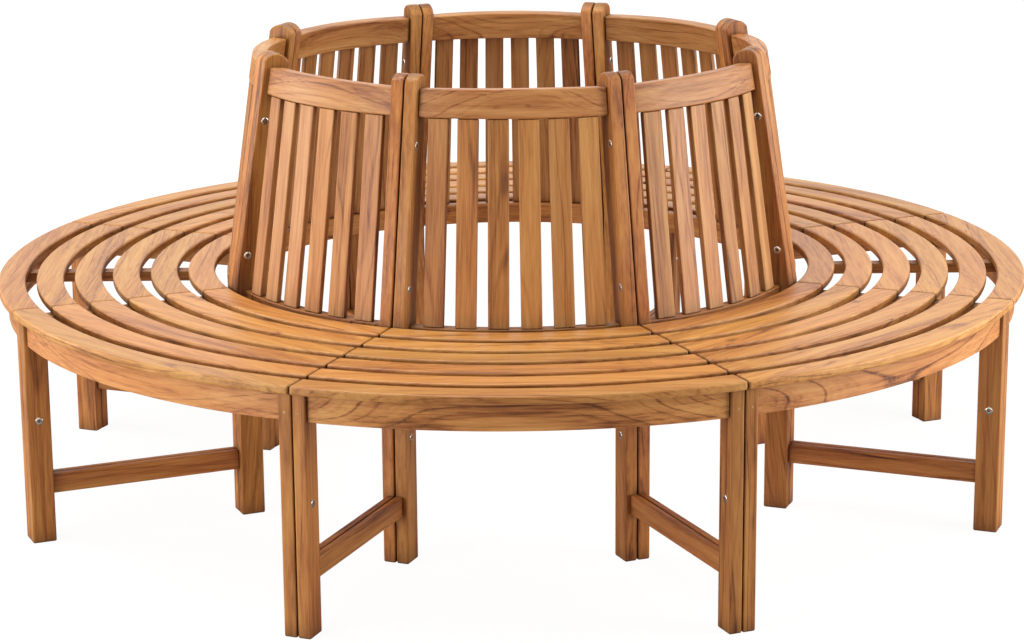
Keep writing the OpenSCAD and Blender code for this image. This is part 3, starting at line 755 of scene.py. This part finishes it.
# Beech, turned and left plain: pale, with hardly any figure
beech = grained_wood("plain_beech", "#DFB57C", "#D2A063", "#B27D4A", "#875730", figure=0.5)
tenon_ends = apply_trees(sawn_blank(*pins), "pin_ends",
                         (around, {**every_joint, "Seed": 51, "Material": beech}))
smooth_round(tenon_ends, PIN_END_CORNER)
fit_piece(tenon_ends, "dowel", "tenon_pins")

# ---------------------------------------------------------------- seat screws
# Pan-head steel screws hold the slats from below: one for each inner slat in every bearer, and
# four in the apron for the outermost. Their heads, each with a pressed cross recess, show under
# the middle bearers; in the end bearers and aprons they are sunk out of sight.
SCREW_SEAT = SLAT_UNDERSIDE - MIDDLE_THICKNESS
SCREW_RADIUS, SCREW_LENGTH = 2 * MM, 30 * MM
SCREW_HEAD_RADIUS, SCREW_HEAD_HEIGHT = 4 * MM, 3 * MM
SCREW_EDGE_WIDTH, SCREW_EDGE_HEIGHT = 1 * MM, 1.2 * MM
RECESS_REACH, RECESS_HALF, RECESS_DEPTH = 2.1 * MM, 0.55 * MM, 1.5 * MM
RECESS_TAPER = 0.8
APRON_SCREW_TURNS = [math.radians(a) for a in (-16, -6, 6, 16)]


def cross_outline(reach, half):
    """The twelve corners of a plus sign."""
    quarter, outline = [(reach, -half), (reach, half), (half, half)], []
    for _ in range(4):
        outline += quarter
        quarter = [(-y, x) for x, y in quarter]
    return outline


def round_outline(radius):
    """Twelve points of a circle, each beside one corner of the plus sign."""
    turns = [math.radians(30 * k - 15) for k in range(12)]
    return [(radius * math.cos(t), radius * math.sin(t)) for t in turns]


def pan_head_screw(x, y):
    """One screw as rings of points, from the bottom of its recess up to its tip."""
    face = SCREW_SEAT - SCREW_HEAD_HEIGHT
    bottom = cross_outline(RECESS_TAPER * RECESS_REACH, RECESS_TAPER * RECESS_HALF)
    steps = ((bottom, face + RECESS_DEPTH),
             (cross_outline(RECESS_REACH, RECESS_HALF), face),
             (round_outline(SCREW_HEAD_RADIUS - SCREW_EDGE_WIDTH), face),
             (round_outline(SCREW_HEAD_RADIUS), face + SCREW_EDGE_HEIGHT),
             (round_outline(SCREW_HEAD_RADIUS), SCREW_SEAT),
             (round_outline(SCREW_RADIUS), SCREW_SEAT),
             (round_outline(SCREW_RADIUS), SCREW_SEAT + SCREW_LENGTH))
    return [[(x + px, y + py, z) for px, py in outline] for outline, z in steps]


# Steel, zinc plated after forming: dull grey with a cloudy sheen
ZINC_CLOUD = 2.5 * MM
ZINC_GLOSS, ZINC_GLOSS_SPREAD = 0.25, 0.25
zinc = bpy.data.materials.new("zinc_plated_steel")
zinc.use_nodes = True
tree = zinc.node_tree
tree.nodes.clear()
place = add(tree, "ShaderNodeTexCoord").outputs["Object"]
clouds = add(tree, "ShaderNodeTexNoise", {},
             {"Vector": place, "Scale": 1 / ZINC_CLOUD, "Detail": 2.0})
gloss = add(tree, "ShaderNodeMath", {"operation": "MULTIPLY_ADD"},
            {0: clouds.outputs[0], 1: ZINC_GLOSS_SPREAD, 2: ZINC_GLOSS})
skin = add(tree, "ShaderNodeBsdfPrincipled", {},
           {"Base Color": colour("#B0A89B"), "Metallic": 1.0, "Roughness": gloss})
add(tree, "ShaderNodeOutputMaterial", {}, {"Surface": skin})

slat_middles = [SEAT_RADIUS - SLAT_WIDTH / 2 - k * (SLAT_WIDTH + SLAT_GAP)
                for k in range(1, SEAT_SLATS)]
apron_middle = (APRON_FACE + APRON_BACK) / 2
in_bearer = [pan_head_screw(r, 0) for r in slat_middles]
in_apron = [pan_head_screw(apron_middle * math.cos(turn), apron_middle * math.sin(turn))
            for turn in APRON_SCREW_TURNS]
middle_screws = apply_trees(sawn_blank(*in_bearer, *in_apron), "middle_screws", (around, {
    **whole_ring, "Grain along": UP, "Grain face": OUTWARD, "Material": zinc}))
end_screws = apply_trees(sawn_blank(*in_bearer), "end_screws", (around, {
    **joint_pair, "Side step": JOINT_GAP + BEARER_WIDTH,
    "Grain along": UP, "Grain face": OUTWARD, "Material": zinc}))
for piece, nodes in ((middle_screws, ["seat_screws"]), (end_screws, [])):
    smooth_round(piece, TURNED_EDGE)
    fit_piece(piece, "steel", *nodes)

# ---------------------------------------------------------------- studio
# A sheet of pale paper under plain soft light from above and from both sides. Shadows show
# on it near the bench only, and it fades to pure white farther out, like the surround.
FLOOR = 30.0
FLOOR_GREY, FLOOR_GREY_IN_GLOSS = 0.8, 0.4
FLOOR_WHITE = 1.1
SHADOW_SHOWS_TO, SHADOW_GONE_AT, SHADOW_KEPT = 1.3, 3.0, 0.85
WORLD_LIGHT, WORLD_IN_GLOSS = 0.03, 1.37
floor_mesh = bpy.data.meshes.new("floor")
floor_corners = [(-FLOOR, -FLOOR, 0), (FLOOR, -FLOOR, 0), (FLOOR, FLOOR, 0), (-FLOOR, FLOOR, 0)]
floor_mesh.from_pydata(floor_corners, [], [[0, 1, 2, 3]])
floor = bpy.data.objects.new("studio_floor", floor_mesh)
bpy.context.scene.collection.objects.link(floor)
paper = bpy.data.materials.new("white_paper")
paper.use_nodes = True
tree = paper.node_tree
tree.nodes.clear()
rays = add(tree, "ShaderNodeLightPath")
pale = add(tree, "ShaderNodeMapRange", {}, {
    "Value": rays.outputs["Is Glossy Ray"], "To Min": FLOOR_GREY, "To Max": FLOOR_GREY_IN_GLOSS})
lit = add(tree, "ShaderNodeBsdfDiffuse", {}, {"Color": pale})
white = add(tree, "ShaderNodeEmission", {}, {"Color": (1, 1, 1, 1), "Strength": FLOOR_WHITE})
away = add(tree, "ShaderNodeVectorMath", {"operation": "LENGTH"},
           {0: add(tree, "ShaderNodeTexCoord").outputs["Object"]}).outputs["Value"]
plain = add(tree, "ShaderNodeMapRange", {"interpolation_type": "SMOOTHSTEP"},
            {"Value": away, "From Min": SHADOW_SHOWS_TO, "From Max": SHADOW_GONE_AT,
             "To Min": SHADOW_KEPT, "To Max": 1.0})
seen = add(tree, "ShaderNodeMath", {"operation": "MULTIPLY"},
           {0: rays.outputs["Is Camera Ray"], 1: plain})
mix = add(tree, "ShaderNodeMixShader", {}, {0: seen, 1: lit, 2: white})
add(tree, "ShaderNodeOutputMaterial", {}, {"Surface": mix})
floor_mesh.materials.append(paper)

world = bpy.data.worlds.new("white_studio")
bpy.context.scene.world = world
world.use_nodes = True
tree = world.node_tree
tree.nodes.clear()
rays = add(tree, "ShaderNodeLightPath")
strength = add(tree, "ShaderNodeMath", {"operation": "MULTIPLY_ADD"},
               {0: rays.outputs["Is Glossy Ray"], 1: WORLD_IN_GLOSS, 2: WORLD_LIGHT})
strength = add(tree, "ShaderNodeMath", {"operation": "MAXIMUM"},
               {0: rays.outputs["Is Camera Ray"], 1: strength})
sky = add(tree, "ShaderNodeBackground", {}, {"Color": (1, 1, 1, 1), "Strength": strength})
add(tree, "ShaderNodeOutputWorld", {}, {"Surface": sky})

# Each softbox: its place, where it aims, its side in metres and its power in watts
AIM = (0, 0, 0.45)
SOFTBOXES = {"overhead": ((-0.9, -0.4, 4.2), (-0.1, 0, 0.4), 3.0, 123),
             "left_low": ((-3.1, -2.5, 0.8), AIM, 1.6, 56),
             "left_high": ((-2.56, -0.45, 2.2), AIM, 1.2, 6),
             "left_side": ((-3.9, 0.5, 0.9), AIM, 1.6, 44),
             "right_low": ((3.8, -1.4, 0.9), AIM, 1.6, 72),
             "right_high": ((2.44, -0.89, 2.2), AIM, 1.2, 18),
             "right_side": ((3.9, 0.7, 1.2), AIM, 1.6, 34)}
for name, (place, aim, side, watts) in SOFTBOXES.items():
    lamp = bpy.data.lights.new(name + "_softbox", "AREA")
    lamp.shape = "SQUARE"
    lamp.size, lamp.energy = side, watts
    box = bpy.data.objects.new(name + "_softbox", lamp)
    box.location = place
    box.rotation_euler = (Vector(aim) - Vector(place)).to_track_quat("-Z", "Y").to_euler()
    bpy.context.scene.collection.objects.link(box)

# ---------------------------------------------------------------- camera
# The camera stands 5.4 m in front of the tree at standing height, looks slightly down and
# leans by less than half a degree.
LENS = 98.67
camera_data = bpy.data.cameras.new("camera")
camera_data.lens = LENS
camera_data.sensor_width = 36
camera_data.clip_end = 100
camera = bpy.data.objects.new("camera", camera_data)
bpy.context.scene.collection.objects.link(camera)
bpy.context.scene.camera = camera
YAW, PITCH, ROLL = math.radians(-0.640), math.radians(14.347), math.radians(-0.446)
CAMERA_PLACE = (-0.0601, -5.4075, 1.7014)
right = Vector((math.cos(YAW), math.sin(YAW), 0))
ahead = Vector((-math.sin(YAW) * math.cos(PITCH), math.cos(YAW) * math.cos(PITCH),
                -math.sin(PITCH)))
up = right.cross(ahead)
rolled_right = right * math.cos(ROLL) + up * math.sin(ROLL)
rolled_up = up * math.cos(ROLL) - right * math.sin(ROLL)
turned = Matrix((rolled_right, rolled_up, -ahead)).transposed().to_4x4()
camera.matrix_world = Matrix.Translation(CAMERA_PLACE) @ turned

bpy.context.scene.view_settings.view_transform = "Standard"
